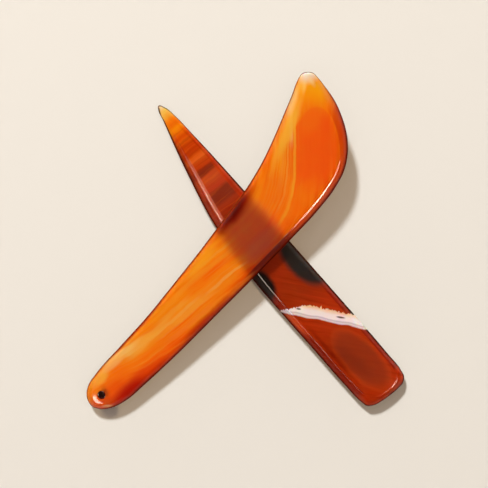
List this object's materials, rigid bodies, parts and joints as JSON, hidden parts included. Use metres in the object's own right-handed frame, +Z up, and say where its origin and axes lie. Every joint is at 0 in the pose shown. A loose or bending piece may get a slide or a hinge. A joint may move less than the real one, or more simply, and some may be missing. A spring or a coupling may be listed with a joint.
{
  "type": "agate burnisher pair",
  "caption": "Crossed polished agate burnishers, one blade-shaped with a cord hole and one long and pointed, for polishing paper and gold leaf.",
  "frame": {"origin": "on the table, on the flat underside of the pointed burnisher, under its middle line where the two cross", "axes": "+Z up from the table, +X to the right and +Y away from someone who looks down on the pair with the blade's tip farthest from them"},
  "size_m": [0.127, 0.1332, 0.0205],
  "materials": {
    "red_agate": "polished translucent agate, deep red with black patches, a white vein and an amber point",
    "orange_agate": "polished translucent agate, bright orange with pale streaks and a dark red rim"
  },
  "bodies": {
    "pointed": {"pointed_burnisher": "red_agate"},
    "blade": {"blade_burnisher": "orange_agate"}
  },
  "joints": [
    {"name": "blade_burnisher_lift", "type": "slide", "parent": "pointed", "child": "blade", "axis": [0, 0, 1], "range_m": [0, 0.04]}
  ]
}
